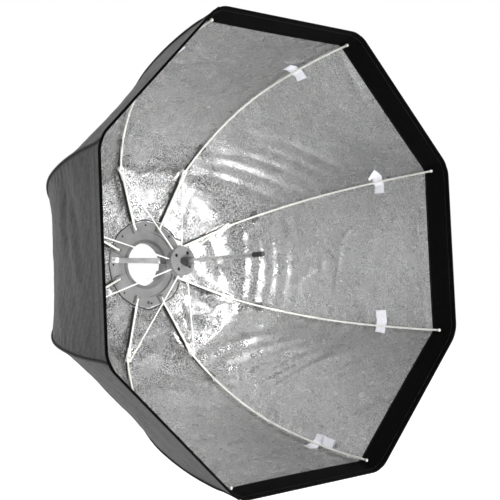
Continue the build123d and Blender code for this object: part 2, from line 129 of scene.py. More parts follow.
DISC_SCREWS, DISC_SCREW_CIRCLE, DISC_SCREW_ANGLE = 4, 0.0215, 54
# Thin black rings round the runner's screws: painted shade for the shadow in the screws' wells.
SHADE_RING_INNER, SHADE_RING_OUTER, SHADE_RING_THICK = 0.0026, 0.0036, 0.0001

FLOOR_SIZE, FLOOR_HEIGHT = 14.0, -1.05

# The surroundings' strength, by the direction's Y from and to: dark in front, bright behind.
WORLD_FROM, WORLD_STRENGTH = (-0.15, 0.5), (0.06, 1.3)

# Lights: name, place, target, size, watts and spread in degrees.
LIGHTS = (
    ("front", (0.10, -2.9, 0.05), (0, -0.1, 0), (1.4, 0.6), 11, 180),
    ("cross", (-0.40, -2.7, -0.42), (0.12, -0.10, -0.06), (0.3, 0.3), 2.1, 30),
    ("inner", (1.45, -0.95, 0.30), (-0.12, -0.10, -0.12), (0.4, 0.4), 2.6, 45),
    ("low", (1.45, -2.0, -1.0), (0.05, -0.15, 0.15), (0.7, 0.4), 1.7, 60),
    ("top", (-0.10, -2.0, 1.60), (0.05, -0.2, -0.15), (0.5, 0.4), 1.0, 40),
)

# The camera, fitted to the photograph: its angles in degrees round the object, then metres and mm.
CAMERA_ANGLES = (-39.91, -2.57, -2.42)
CAMERA_DISTANCE, CAMERA_RIGHT, CAMERA_UP = 2.2251, 0.23352, 0.0325
CAMERA_LENS, CAMERA_SENSOR = 69.55, 36.0

rng = np.random.default_rng(20)


# ---------------------------------------------------------------- lines and surfaces
def trace(start, angle, stretches, before=0.0):
    """Steps along a line of straights and arcs. Returns distance run, radius, height and angle."""
    knots, angles = [-before, 0.0], [angle, angle]
    for length, end_angle in stretches:
        knots.append(knots[-1] + length)
        angles.append(end_angle)
    run = np.arange(-before, knots[-1] + LINE_STEP, LINE_STEP)
    slope = np.radians(np.interp(run, knots, angles))
    radius = np.concatenate([[0], np.cumsum(np.cos(slope[:-1]) * LINE_STEP)])
    height = np.concatenate([[0], np.cumsum(np.sin(slope[:-1]) * LINE_STEP)])
    origin = np.searchsorted(run, 0.0)
    return run, start[0] + radius - radius[origin], start[1] + height - height[origin], slope


def arcs_as_stretches(angle, arcs):
    out = []
    for radius, end in arcs:
        out.append((radius * math.radians(end - angle), end))
        angle = end
    return out


def cloth_line():
    stretches = [(CLOTH_STRAIGHT, CLOTH_ANGLE)] + arcs_as_stretches(CLOTH_ANGLE, CLOTH_ARCS)
    _, radius, height, _ = trace(CLOTH_START, CLOTH_ANGLE, stretches, before=CLOTH_BEFORE)
    rise, spread = RIM_HEIGHT - height[-1], RIM_APOTHEM - radius[-1]
    lip_angle = math.degrees(math.atan2(rise, spread))
    lip = [(0.0001, lip_angle), (math.hypot(rise, spread) - 0.0001, lip_angle)]
    return trace(CLOTH_START, CLOTH_ANGLE, stretches + lip, before=CLOTH_BEFORE)


CLOTH = cloth_line()
ROD = trace(KNUCKLE, ROD_ANGLE, arcs_as_stretches(ROD_ANGLE, ROD_ARCS))
RIM_RUN = CLOTH[0][-1]
LIP_RUN = RIM_RUN - LIP_WIDTH


def run_at(apothem):
    """How far along the cloth's line a distance from the axis is reached."""
    return np.interp(apothem, CLOTH[1], CLOTH[0])


def run_at_height(height):
    return float(np.interp(height, CLOTH[2], CLOTH[0]))


def smooth(low, high, x):
    t = np.clip((x - low) / (high - low), 0.0, 1.0)
    return t * t * (3 - 2 * t)


def rib_azimuth(rib):
    return FIRST_RIB + SECTOR * (rib - 1)


def directions(azimuth):
    """Outwards, along the tangent and towards the light's target, at an azimuth."""
    out = np.array([math.cos(azimuth), 0.0, math.sin(azimuth)])
    along = np.array([-math.sin(azimuth), 0.0, math.cos(azimuth)])
    return out, along, np.array([0.0, -1.0, 0.0])


def rib_point(rib, radius, height):
    out, _, forward = directions(rib_azimuth(rib))
    return out * radius + forward * (height + PIVOT_SETBACK)


def gore_beside(rib, side):
    return rib if side >= 0 else (rib - 2) % RIBS + 1


# ---------------------------------------------------------------- folds in the cloth
def scattered_folds(count, runs, lengths, widths, heights, headings):
    """Random folds as (run, place across as a share, heading, length, width, height, bend)."""
    folds = []
    for _ in range(count):
        folds.append(
            (
                rng.uniform(*runs),
                rng.uniform(-0.85, 0.85),
                math.radians(rng.uniform(*headings)),
                rng.uniform(*lengths),
                rng.uniform(*widths),
                rng.uniform(*heights) * rng.choice((-1, 1)),
                rng.uniform(-3, 3),
            )
        )
    return folds


# Scattered folds of every gore, drawn in this order: near the hub, sharp creases, soft swells.
# Each is a count and ranges of run, length, width, height and heading in degrees.
SCATTERED = (
    (9, (0.02, 0.13), (0.02, 0.06), (0.006, 0.016), (0.0012, 0.0035), (20, 160)),
    (3, (0.15, 0.60), (0.02, 0.05), (0.003, 0.005), (0.0003, 0.0007), (0, 180)),
    (16, (0.14, 0.60), (0.04, 0.10), (0.013, 0.030), (0.0012, 0.0032), (40, 140)),
)
# Crossing creases in gore 8: run, share across, heading in degrees, length, width, height, bend.
STAR_CREASES = [
    (0.330, -0.2, 35, 0.05, 0.006, 0.0034, 2.0),
    (0.370, 0.15, 140, 0.045, 0.005, 0.0030, -3.0),
    (0.400, -0.1, 75, 0.06, 0.006, 0.0030, 1.0),
    (0.355, 0.05, 100, 0.04, 0.005, 0.0026, -4.0),
    (0.420, 0.30, 50, 0.05, 0.006, 0.0026, 3.0),
]


def gore_folds(gore):
    """The folds of one gore. Headings are from the rib's direction: 90 degrees is along the rim."""
    folds = []
    for count, *spans in SCATTERED:
        folds += scattered_folds(count, *spans)
    drawn = []
    if gore == 8:
        drawn += [(0.165 + 0.034 * n, 0.05, 90, 0.12, 0.010, 0.0042 - 0.0004 * n, -1.6) for n in range(5)]
        drawn += STAR_CREASES
        drawn.append((LIP_RUN - 0.022, 0.0, 90, 0.16, 0.007, 0.0028, 0.2))
    if gore in (1, 7):
        slant = 1 if gore == 7 else -1
        for n in range(5):
            share = slant * (0.05 * n - 0.15)
            drawn.append((0.19 + 0.05 * n, share, 90 - slant * 38, 0.11, 0.013, 0.0050, 1.2 * slant))
        drawn.append((LIP_RUN - 0.02, 0.5, 84, 0.06, 0.010, 0.0036, 0.0))
    for run, share, heading, *rest in drawn:
        folds.append((run, share, math.radians(heading), *rest))
    return folds


FOLDS = {gore: gore_folds(gore) for gore in range(1, RIBS + 1)}
PHASES = rng.uniform(0, 2 * math.pi, (RIBS + 1, 6))
SAG = 0.007
CREASE_DEPTH = 0.0042
KNEE_RUN = float(run_at(0.222 * COS_HALF))


def displacement(run, tau, gore, apothem):
    """How far the cloth stands in from the flat gore. It is nothing along the ribs and at the rim."""
    across = tau * apothem * TAN_HALF
    from_seam = np.clip((1 - np.abs(tau)) * apothem * TAN_HALF, 0, None)
    phase = PHASES[gore]
    sag = SAG * (1 - tau**2) * smooth(0.02, 0.22, run) * (1 - smooth(LIP_RUN - 0.12, RIM_RUN, run))
    folds = np.zeros_like(across)
    for at, share, heading, length, width, height, bend in FOLDS[gore]:
        x, y = run - at, across - share * np.interp(at, CLOTH[0], CLOTH[1]) * TAN_HALF
        u = x * math.cos(heading) + y * math.sin(heading)
        v = -x * math.sin(heading) + y * math.cos(heading) + bend * u * u
        folds += height * np.exp(-((u / length) ** 2)) / np.cosh(v / width) ** 2
    from_knee = np.sqrt((run - KNEE_RUN - 0.006 * np.sin(3 * tau + phase[5])) ** 2 + 0.0015**2)
    folds -= CREASE_DEPTH * (0.8 + 0.2 * np.sin(phase[4])) * np.exp(-from_knee / 0.022)
    ripple = 0.0005 * np.sin(run * 95 + 4 * tau + phase[0]) * np.sin(across * 60 + phase[1])
    ripple += 0.0003 * np.sin(run * 210 + phase[2]) * np.sin(across * 170 + run * 60 + phase[3])
    pucker = 0.0005 * np.sin(run * 2 * math.pi / 0.027 + 2.3 * np.sin(run * 23 + phase[4]))
    pucker *= (0.5 + 0.5 * np.sin(run * 14 + phase[5])) * smooth(0.13, 0.2, run)
    pucker *= (from_seam / 0.010) * np.exp(1 - from_seam / 0.010)
    open_part = smooth(0.0, 0.012, from_seam) * (1 - smooth(LIP_RUN - 0.012, LIP_RUN + 0.002, run))
    hub_part = 0.25 + 0.75 * smooth(0.0, 0.03, run)
    lip_part = 1 - smooth(LIP_RUN - 0.02, LIP_RUN, run)
    return sag + (folds + ripple) * open_part * hub_part + pucker * lip_part


def cloth(run, tau, gore, lift=0.0):
    """Points of the cloth. tau is -1 at the gore's first rib and 1 at its second."""
    run, tau = np.broadcast_arrays(np.asarray(run, float), np.asarray(tau, float))
    apothem = np.interp(run, CLOTH[0], CLOTH[1])
    height = np.interp(run, CLOTH[0], CLOTH[2])
    slope = np.interp(run, CLOTH[0], CLOTH[3])
    corner = 0.004 + 0.050 * smooth(LIP_RUN - 0.02, RIM_RUN, run)
    reach = corner * TAN_HALF
    from_seam = apothem * TAN_HALF * (1 - np.abs(tau))
    inside = np.clip(reach - from_seam, 0, None)
    rounding = corner - np.sqrt(np.clip(corner**2 - inside**2, 0, None))
    inwards = displacement(run, tau, gore, apothem) + lift
    radial = apothem - rounding - inwards * np.sin(slope)
    height = height + inwards * np.cos(slope)
    out, along, forward = directions(SECTOR * gore)
    return (
        radial[..., None] * out
        + (tau * TAN_HALF * radial)[..., None] * along
        + (height + PIVOT_SETBACK)[..., None] * forward
    )


def cloth_normal(run, tau, gore):
    step_run, step_tau = 0.0006, 0.004
    ahead = cloth(run + step_run, tau, gore) - cloth(run - step_run, tau, gore)
    beside = cloth(run, tau + step_tau, gore) - cloth(run, tau - step_tau, gore)
    normal = np.cross(ahead, beside)
    return normal / np.linalg.norm(normal, axis=-1, keepdims=True)


# ---------------------------------------------------------------- meshes
def add_object(name, mesh, body, replaced=()):
    piece = bpy.data.objects.new(name, mesh)
    bpy.context.scene.collection.objects.link(piece)
    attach(piece, body)
    if replaced:
        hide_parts(*replaced)
    return piece


def plain_mesh(name, points, faces, material, smoothed=True):
    mesh = bpy.data.meshes.new(name)
    mesh.from_pydata(points, [], faces)
    mesh.materials.append(material)
    if smoothed:
        mesh.polygons.foreach_set("use_smooth", np.ones(len(faces), bool))
    return mesh


def quad_mesh(name, points, quads, normals, uvs, materials, face_material):
    mesh = bpy.data.meshes.new(name)
    mesh.from_pydata(points.tolist(), [], quads.tolist())
    for material in materials:
        mesh.materials.append(material)
    mesh.polygons.foreach_set("use_smooth", np.ones(len(quads), bool))
    mesh.polygons.foreach_set("material_index", face_material.astype(np.int32))
    layer = mesh.uv_layers.new(name="Cloth")
    layer.data.foreach_set("uv", uvs[quads.reshape(-1)].astype(np.float32).reshape(-1))
    mesh.update()
    mesh.normals_split_custom_set_from_vertices(normals.tolist())
    return mesh


def shell_parts(inner, outer, normal, uv):
    """A closed shell between two grids: points, quads, normals, uvs and 0 for each inner face."""
    rows, columns = inner.shape[:2]
    count = rows * columns
    index = np.arange(count).reshape(rows, columns)
    corner = [index[:-1, :-1], index[1:, :-1], index[1:, 1:], index[:-1, 1:]]
    front = np.stack([c.reshape(-1) for c in corner], axis=1)
    back = front[:, ::-1] + count
    first, last = index[:, 0], index[:, -1]
    low, high = index[0], index[-1]
    walls = [
        np.stack([first[:-1], first[:-1] + count, first[1:] + count, first[1:]], axis=1),
        np.stack([last[:-1], last[1:], last[1:] + count, last[:-1] + count], axis=1),
        np.stack([low[:-1], low[1:], low[1:] + count, low[:-1] + count], axis=1),
        np.stack([high[:-1], high[:-1] + count, high[1:] + count, high[1:]], axis=1),
    ]
    quads = np.concatenate([front, back] + walls)
    points = np.concatenate([inner.reshape(-1, 3), outer.reshape(-1, 3)])
    normals = np.concatenate([normal.reshape(-1, 3), -normal.reshape(-1, 3)])
    uvs = np.concatenate([uv.reshape(-1, 2)] * 2)
    is_outer = np.ones(len(quads))
    is_outer[: len(front)] = 0
    return points, quads, normals, uvs, is_outer


def join_parts(parts):
    """Joins shells made by shell_parts into one set of arrays."""
    offsets = np.cumsum([0] + [len(p[0]) for p in parts[:-1]])
    quads = np.concatenate([p[1] + offset for p, offset in zip(parts, offsets)])
    return (
        np.concatenate([p[0] for p in parts]),
        quads,
        np.concatenate([p[2] for p in parts]),
        np.concatenate([p[3] for p in parts]),
        np.concatenate([p[4] for p in parts]),
    )


def opening_radius(azimuth):
    """The cloth's inner edge round the ring. It is pulled out beside the first rib."""
    pulled = np.angle(np.exp(1j * (azimuth - math.radians(27))))
    lobes = 0.0013 * (0.5 + 0.5 * np.cos(RIBS * azimuth)) ** 3
    boss = 0.0018 * np.exp(-((np.angle(np.exp(1j * (azimuth + math.pi / 2))) / math.radians(8)) ** 2))
    return OPENING_RADIUS + lobes + boss + 0.0130 * np.exp(-((pulled / math.radians(6)) ** 2))


def opening_run(tau, gore):
    lean = np.arctan(tau * TAN_HALF)
    apothem = opening_radius(SECTOR * gore + lean) * np.cos(lean)
    return (apothem - CLOTH_START[0]) / math.cos(math.radians(CLOTH_ANGLE))


def half_taus(side, columns=HALF_COLUMNS):
    return np.linspace(-1, 0, columns) if side > 0 else np.linspace(0, 1, columns)


def half_gore_grid(rib, side, low, high, rows, columns):
    """Runs and taus of the half gore beside a rib. low None starts at the opening's edge."""
    gore, taus = gore_beside(rib, side), half_taus(side, columns)
    share = np.linspace(0, 1, rows)[:, None]
    start = opening_run(taus, gore) if low is None else np.full(columns, low)
    run = start[None, :] + share * (high - start[None, :])
    return gore, run, np.broadcast_to(taus[None, :], run.shape)


def cloth_shell(rib, low, high, rows, columns, lifts=(0.0, -CLOTH_THICK), edge=0.0):
    """Two half gores' worth of cloth beside a rib, as closed shells. edge rounds the long edges."""
    parts = []
    for side in (1, -1):
        gore, run, tau = half_gore_grid(rib, side, low, high, rows, columns)
        normal = cloth_normal(run, tau, gore)
        top = np.full(run.shape, lifts[0])
        if edge:
            nearness = np.clip(np.minimum(run - run.min(), run.max() - run) / edge, 0, 1)
            crown = np.sqrt(np.clip(1 - (1 - nearness) ** 2, 0, 1))
            top = np.maximum(lifts[1] + (lifts[0] - lifts[1]) * crown, lifts[1] + THINNEST)
        inner = cloth(run, tau, gore, top)
        outer = cloth(run, tau, gore, lifts[1])
        apothem = np.interp(run, CLOTH[0], CLOTH[1])
        uv = np.stack([tau * apothem * TAN_HALF, run], axis=-1)
        parts.append(shell_parts(inner, outer, normal, uv))
    return join_parts(parts)


def loft(name, centres, sides, ups, section, material):
    """A solid swept along points: section gives its corners as (side, up) pairs, in order round it."""
    section = np.asarray(section, float)
    if section.ndim == 2:
        section = np.broadcast_to(section, (len(centres),) + section.shape)
    rings = centres[:, None, :] + section[..., :1] * sides[:, None, :] + section[..., 1:] * ups[:, None, :]
    count, corners = rings.shape[:2]
    points = rings.reshape(-1, 3)
    faces = []
    for i in range(count - 1):
        a, b = i * corners, (i + 1) * corners
        for j in range(corners):
            k = (j + 1) % corners
            faces.append((a + j, a + k, b + k, b + j))
    faces.append(tuple(range(corners))[::-1])
    faces.append(tuple(range((count - 1) * corners, count * corners)))
    mesh = plain_mesh(name, points.tolist(), faces, material)
    travelled = np.concatenate([[0], np.cumsum(np.linalg.norm(np.diff(centres, axis=0), axis=1))])
    around = np.linspace(0, 1, corners) * 0.01
    grid = np.stack(np.meshgrid(around, travelled), axis=-1).reshape(-1, 2)
    layer = mesh.uv_layers.new(name="Cloth")
    loops = np.zeros(len(mesh.loops), np.int32)
    mesh.loops.foreach_get("vertex_index", loops)
    layer.data.foreach_set("uv", grid[loops].astype(np.float32).reshape(-1))
    return mesh


def tidy_normals(mesh):
    """Makes the faces look outwards."""
    work = bmesh.new()
    work.from_mesh(mesh)
    bmesh.ops.recalc_face_normals(work, faces=work.faces)
    work.to_mesh(mesh)
    work.free()
    return mesh


def round_section(width, thick, corners=12):
    """A flattened round outline."""
    turn = np.linspace(0, 2 * math.pi, corners, endpoint=False)
    c, s = np.cos(turn), np.sin(turn)
    squared = np.sign(c) * np.abs(c) ** 0.6, np.sign(s) * np.abs(s) ** 0.6
    return np.stack([squared[0] * width / 2, squared[1] * thick / 2], axis=1)


def along_line(points):
    """Unit directions along a line of points."""
    way = np.gradient(points, axis=0)
    return way / np.linalg.norm(way, axis=1, keepdims=True)


def stitches(name, points, ups, material, length=0.0030, pitch=0.0046, thick=0.00075):
    """A row of thread stitches along a line of points: each is a small spindle on the cloth."""
    steps = np.linalg.norm(np.diff(points, axis=0), axis=1)
    run = np.concatenate([[0], np.cumsum(steps)])
    places = np.arange(pitch, run[-1] - pitch / 2, pitch)
    verts, faces = [], []
    corners, rings = 6, ((-0.3, 0.85), (0.0, 1.0), (0.3, 0.85))
    ring = [(math.cos(a), math.sin(a)) for a in np.linspace(0, 2 * math.pi, corners, endpoint=False)]
    for place in places:
        centre = np.array([np.interp(place, run, points[:, k]) for k in range(3)])
        up = np.array([np.interp(place, run, ups[:, k]) for k in range(3)])
        ahead = np.array([np.interp(place + 0.001, run, points[:, k]) for k in range(3)]) - centre
        ahead /= np.linalg.norm(ahead) + 1e-12
        side = np.cross(ahead, up)
        side /= np.linalg.norm(side) + 1e-12
        base = len(verts)
        verts.append(centre - ahead * length / 2)
        for share, size in rings:
            for c, s in ring:
                offset = side * c * thick / 2 * size + up * s * thick / 2 * size
                verts.append(centre + ahead * share * length + offset)
        verts.append(centre + ahead * length / 2)
        last = base + 1 + (len(rings) - 1) * corners
        for k in range(corners):
            m = (k + 1) % corners
            faces.append((base, base + 1 + m, base + 1 + k))
            for level in (0, corners):
                a, b = base + 1 + level + k, base + 1 + level + m
                faces.append((a, b, b + corners, a + corners))
            faces.append((last + k, last + m, last + corners))
    return tidy_normals(plain_mesh(name, [tuple(v) for v in verts], faces, material))


# ---------------------------------------------------------------- finishes
class Finish:
    """A Principled material under construction. Constant values are set on the shader's sockets."""

    def __init__(self, name, colour, roughness, metallic=0.0, **values):
        self.material = bpy.data.materials.new(name)
        self.material.use_nodes = True
        self.nodes = self.material.node_tree.nodes
        self.links = self.material.node_tree.links
        self.shader = self.nodes["Principled BSDF"]
        self.shader.inputs["Base Color"].default_value = (*colour, 1)
        self.shader.inputs["Roughness"].default_value = roughness
        self.shader.inputs["Metallic"].default_value = metallic
        for socket, value in values.items():
            self.shader.inputs[socket.replace("_", " ")].default_value = value
        self.place = self.nodes.new("ShaderNodeTexCoord").outputs["Object"]
        self.normal = None

    def stretched(self, scale):
        mapping = self.nodes.new("ShaderNodeMapping")
        mapping.inputs["Scale"].default_value = scale
        self.links.new(self.place, mapping.inputs["Vector"])
        return mapping.outputs["Vector"]

    def on_cloth(self):
        uv = self.nodes.new("ShaderNodeUVMap")
        uv.uv_map = "Cloth"
        return uv.outputs["UV"]

    def noise(self, scale, detail=3.0, rough=0.55, vector=None):
        node = self.nodes.new("ShaderNodeTexNoise")
        node.inputs["Scale"].default_value = scale
        node.inputs["Detail"].default_value = detail
        node.inputs["Roughness"].default_value = rough
        self.links.new(vector or self.place, node.inputs["Vector"])
        return node.outputs["Fac"]

    def waves(self, scale, direction="X", vector=None, distortion=0.0):
        node = self.nodes.new("ShaderNodeTexWave")
        node.bands_direction = direction
        node.inputs["Scale"].default_value = scale
        node.inputs["Distortion"].default_value = distortion
        self.links.new(vector or self.place, node.inputs["Vector"])
        return node.outputs["Fac"]

    def spread(self, factor, low, high, from_low=0.3, from_high=0.7):
        node = self.nodes.new("ShaderNodeMapRange")
        node.inputs["From Min"].default_value = from_low
        node.inputs["From Max"].default_value = from_high
        node.inputs["To Min"].default_value = low
        node.inputs["To Max"].default_value = high
        self.links.new(factor, node.inputs["Value"])
        return node.outputs["Result"]

    def maths(self, operation, a, b):
        node = self.nodes.new("ShaderNodeMath")
        node.operation = operation
        for value, socket in zip((a, b), node.inputs):
            if isinstance(value, float):
                socket.default_value = value
            else:
                self.links.new(value, socket)
        return node.outputs["Value"]

    def tint(self, factor, dark, light, from_low=0.3, from_high=0.7):
        ramp = self.nodes.new("ShaderNodeValToRGB")
        ramp.color_ramp.elements[0].position = from_low
        ramp.color_ramp.elements[0].color = (*dark, 1)
        ramp.color_ramp.elements[1].position = from_high
        ramp.color_ramp.elements[1].color = (*light, 1)
        self.links.new(factor, ramp.inputs["Fac"])
        self.links.new(ramp.outputs["Color"], self.shader.inputs["Base Color"])

    def roughen(self, factor, low, high, from_low=0.3, from_high=0.7):
        self.links.new(self.spread(factor, low, high, from_low, from_high), self.shader.inputs["Roughness"])

    def bump(self, factor, distance, strength=1.0):
        node = self.nodes.new("ShaderNodeBump")
        node.inputs["Distance"].default_value = distance
        node.inputs["Strength"].default_value = strength
        self.links.new(factor, node.inputs["Height"])
        if self.normal:
            self.links.new(self.normal, node.inputs["Normal"])
        self.normal = node.outputs["Normal"]
        self.links.new(self.normal, self.shader.inputs["Normal"])


def grey(level):
    return (level, level, level)


def silver_lining():
    """Pebbled silver foil on cloth. In patches near the ring its colour carries a painted reflection: a
    high-contrast dark and light speckle that stands for glints off the pebbled foil.
    """
    f = Finish("silver_lining", grey(0.62), 0.28, metallic=0.85)
    run = f.nodes.new("ShaderNodeSeparateXYZ")
    f.links.new(f.on_cloth(), run.inputs[0])
    # Painted reflection: in patches near the ring, the grain of the base colour spreads from near black to
    # near white. It stands for glints off the pebbled foil.
    near_ring = f.spread(run.outputs["Y"], 1.0, 0.0, from_low=0.15, from_high=0.27)
    patches = f.spread(f.noise(17, detail=2.0), 0.0, 1.0, from_low=0.41, from_high=0.49)
    painted_glints = f.maths("MULTIPLY", near_ring, patches)
    grain = f.spread(f.noise(430, detail=1.0), 0.0, 1.0, from_low=0.40, from_high=0.60)
    dark = f.spread(painted_glints, 0.38, 0.06, from_low=0.0, from_high=1.0)
    light = f.spread(painted_glints, 0.68, 0.80, from_low=0.0, from_high=1.0)
    span = f.maths("SUBTRACT", light, dark)
    level = f.maths("ADD", dark, f.maths("MULTIPLY", span, grain))
    colour = f.nodes.new("ShaderNodeCombineColor")
    for channel in colour.inputs:
        f.links.new(level, channel)
    f.links.new(colour.outputs["Color"], f.shader.inputs["Base Color"])
    f.bump(f.noise(45, detail=1.0), 0.0008, 0.22)
    f.bump(grain, 0.00030, 0.6)
    f.roughen(f.noise(35), 0.24, 0.32)
    return f.material


def canopy_cloth():
    """Black woven nylon on the outside."""
    f = Finish("canopy_cloth", grey(0.010), 0.66, Sheen_Weight=0.05, Sheen_Roughness=0.4)
    warp = f.waves(620, "X", f.on_cloth())
    weft = f.waves(620, "Y", f.on_cloth())
    f.tint(f.noise(28, detail=4), grey(0.008), grey(0.014))
    f.bump(f.noise(90, detail=3), 0.0012, 0.5)
    f.bump(f.maths("MULTIPLY", warp, weft), 0.0003, 0.6)
    f.roughen(f.noise(150), 0.52, 0.70)
    return f.material


def rim_webbing():
    """Black hook-and-loop pile inside the rim."""
    f = Finish("rim_webbing", grey(0.002), 0.95, Specular_IOR_Level=0.06)
    f.tint(f.noise(300, detail=4), grey(0.001), grey(0.004))
    f.bump(f.noise(900, detail=3), 0.0006, 0.8)
    f.bump(f.waves(160, "Y", f.on_cloth(), distortion=0.6), 0.0002, 0.4)
    return f.material


def binding_tape():
    f = Finish("seam_binding", grey(0.012), 0.75)
    f.tint(f.noise(200, detail=3), grey(0.008), grey(0.020))
    f.bump(f.waves(500, "Y", f.on_cloth()), 0.0003, 0.6)
    return f.material


def keeper_webbing():
    f = Finish("grey_keeper", grey(0.11), 0.8, Sheen_Weight=0.1)
    f.tint(f.noise(260, detail=3), grey(0.075), grey(0.15))
    f.bump(f.waves(420, "X"), 0.0004, 0.5)
    f.bump(f.waves(420, "Z"), 0.0004, 0.5)
    return f.material


def tab_cloth():
    """Thin white satin with a cool tint."""
    f = Finish("white_tab", (0.92, 0.92, 0.98), 0.5, Sheen_Weight=0.2)
    f.tint(f.noise(70, detail=3), (0.86, 0.86, 0.95), (0.96, 0.96, 1.0))
    f.bump(f.waves(700, "Z", distortion=0.4), 0.0002, 0.5)
    f.bump(f.noise(120), 0.0008, 0.5)
    return f.material


def thread(name, level):
    f = Finish(name, grey(level), 0.6)
    f.tint(f.noise(900), grey(level * 0.7), grey(level * 1.25))
    f.bump(f.waves(2600, "X"), 0.0001, 0.5)
    return f.material


def cast_metal():
    f = Finish("cast_metal", grey(0.25), 0.42, metallic=0.55)
    f.tint(f.noise(40, detail=4), grey(0.22), grey(0.29))
    f.bump(f.noise(1400, detail=2), 0.00018, 0.6)
    f.bump(f.noise(120, detail=3), 0.0005, 0.25)
    f.roughen(f.noise(300), 0.36, 0.50)
    return f.material


def plate_metal():
    f = Finish("plate_metal", grey(0.25), 0.5, metallic=0.8)
    f.tint(f.noise(60, detail=4), grey(0.21), grey(0.29))
    f.bump(f.noise(1100), 0.0001, 0.5)
    return f.material


def insert_metal():
    """Turned alloy, with fine rings round the bore."""
    f = Finish("insert_metal", grey(0.16), 0.45, metallic=0.5)
    f.tint(f.noise(50, detail=3), grey(0.13), grey(0.19))
    node = f.nodes.new("ShaderNodeTexWave")
    node.wave_type = "RINGS"
    node.rings_direction = "Y"
    node.inputs["Scale"].default_value = 350
    f.links.new(f.place, node.inputs["Vector"])
    f.bump(node.outputs["Fac"], 0.00006, 0.6)
    f.roughen(f.noise(200), 0.38, 0.52)
    return f.material


def dark_screw():
    f = Finish("dark_screw", grey(0.003), 0.8, Specular_IOR_Level=0.15)
    f.tint(f.noise(800), grey(0.002), grey(0.005))
    f.bump(f.noise(1500), 0.0001, 0.5)
    return f.material


def bright_steel(name, level, rough, stretch):
    """Drawn or rolled steel, with fine lines along one direction."""
    f = Finish(name, grey(level), rough, metallic=1.0)
    lines = f.noise(900, detail=3, vector=f.stretched(stretch))
    f.tint(f.noise(80, detail=3), grey(level * 0.86), grey(min(1.0, level * 1.08)))
    f.bump(lines, 0.00004, 0.4)
    f.roughen(lines, rough * 0.85, rough * 1.15)
    return f.material


def sleeve_metal(name, level):
    """Fine blasted alloy of the runner."""
    f = Finish(name, grey(level), 0.6, metallic=0.2)
    f.tint(f.noise(700, detail=2), grey(level * 0.79), grey(level * 1.25))
    f.bump(f.noise(1600, detail=2), 0.00015, 0.7)
    return f.material


def black_plastic(name, rough):
    f = Finish(name, grey(0.012), rough)
    f.tint(f.noise(60, detail=3), grey(0.009), grey(0.017))
    f.bump(f.noise(1300, detail=2), 0.0001, 0.5)
    f.roughen(f.noise(120), rough * 0.85, rough * 1.15)
    return f.material


def rib_white():
    """White coated spring steel."""
    f = Finish("rib_white", (0.86, 0.85, 0.81), 0.32, Coat_Weight=0.3, Coat_Roughness=0.2)
    f.tint(f.noise(45, detail=4), (0.82, 0.81, 0.76), (0.92, 0.91, 0.88))
    f.bump(f.noise(700, detail=2), 0.0001, 0.4)
    f.roughen(f.noise(150), 0.26, 0.40)
    return f.material


FINISH = {
    "silver_lining": silver_lining(),
    "canopy_cloth": canopy_cloth(),
    "rim_webbing": rim_webbing(),
    "seam_binding": binding_tape(),
    "grey_keeper": keeper_webbing(),
    "white_tab": tab_cloth(),
    "black_thread": thread("black_thread", 0.03),
    "grey_thread": thread("grey_thread", 0.35),
    "cast_metal": cast_metal(),
    "plate_metal": plate_metal(),
    "insert_metal": insert_metal(),
    "dark_screw": dark_screw(),
    "pin_steel": bright_steel("pin_steel", 0.55, 0.3, (1, 1, 0.1)),
    "bow_steel": bright_steel("bow_steel", 0.88, 0.36, (0.06, 1, 1)),
    "shaft_steel": bright_steel("shaft_steel", 0.58, 0.28, (1, 0.05, 1)),
    "spring_steel": bright_steel("spring_steel", 0.5, 0.25, (1, 1, 1)),
    "sleeve_metal": sleeve_metal("sleeve_metal", 0.19),
    "sleeve_dark": sleeve_metal("sleeve_dark", 0.08),
    "cap_plastic": black_plastic("cap_plastic", 0.45),
    "button_plastic": black_plastic("button_plastic", 0.35),
    "rib_white": rib_white(),
}

WHITE_PARTS = ("rib_arm", "rib_rod", "stretcher")

# The CAD nodes that take each finish, by the start of their names.
NODE_SLOTS = {
    "cast_metal": ("speedring_casting", "runner_carrier"),
    "plate_metal": ("ring_back_plate",),
    "dark_screw": ("ring_screws", "insert_screws", "runner_screws"),
    "insert_metal": ("bayonet_insert",),
    "pin_steel": ("rib_hinge_pins", "bow_screws", "shaft_nut", "stretcher_pins", "knuckle_pin_"),
    "bow_steel": ("shaft_bow",),
    "shaft_steel": ("runner_shaft",),
    "sleeve_metal": ("shaft_hub_collar", "runner_front_disc"),
    "sleeve_dark": ("runner_sleeve",),
    "cap_plastic": ("shaft_end_cap",),
    "button_plastic": ("latch_button",),
    "spring_steel": ("latch_spring",),
    "rib_white": tuple(f"{part}_{rib}" for rib in range(1, RIBS + 1) for part in WHITE_PARTS),
}


def finish_cad_nodes():
    for name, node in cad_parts.items():
        for slot, starts in NODE_SLOTS.items():
            if name.startswith(starts):
                node.data.materials.clear()
                node.data.materials.append(FINISH[slot])


# ---------------------------------------------------------------- canopy
def squash_to_rib(piece):
    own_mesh(piece)


def band_runs():
    """Each band's first and last run. The first band starts at the opening's edge."""
    limits = [None]
    for _, _, corner_radius, _ in BANDS[:-1]:
        limits.append(float(run_at(corner_radius * COS_HALF)))
    limits.append(float(RIM_RUN))
    return list(zip(limits[:-1], limits[1:]))


def declare_cloth(low):
    """Sets a band's first run to 0 where it is None. Nothing is made, returned or declared."""
    low = 0.0 if low is None else low


def build_canopy():
    for rib in range(1, RIBS + 1):
        for (name, body, _, keep), (low, high) in zip(BANDS, band_runs()):
            rows = max(6, int(round((high - (low or 0.0)) / ROW_STEP)) + 1)
            arrays = cloth_shell(rib, low, high, rows, HALF_COLUMNS)
            materials = [FINISH["silver_lining"], FINISH["canopy_cloth"]]
            mesh = quad_mesh(f"canopy_{name}_{rib}", *arrays[:4], materials, arrays[4])
            stands_for = [f"canopy_panel_{rib}"]
            piece = add_object(mesh.name, mesh, f"{body}_{rib}", stands_for)
            squash_to_rib(piece)
            declare_cloth(low)


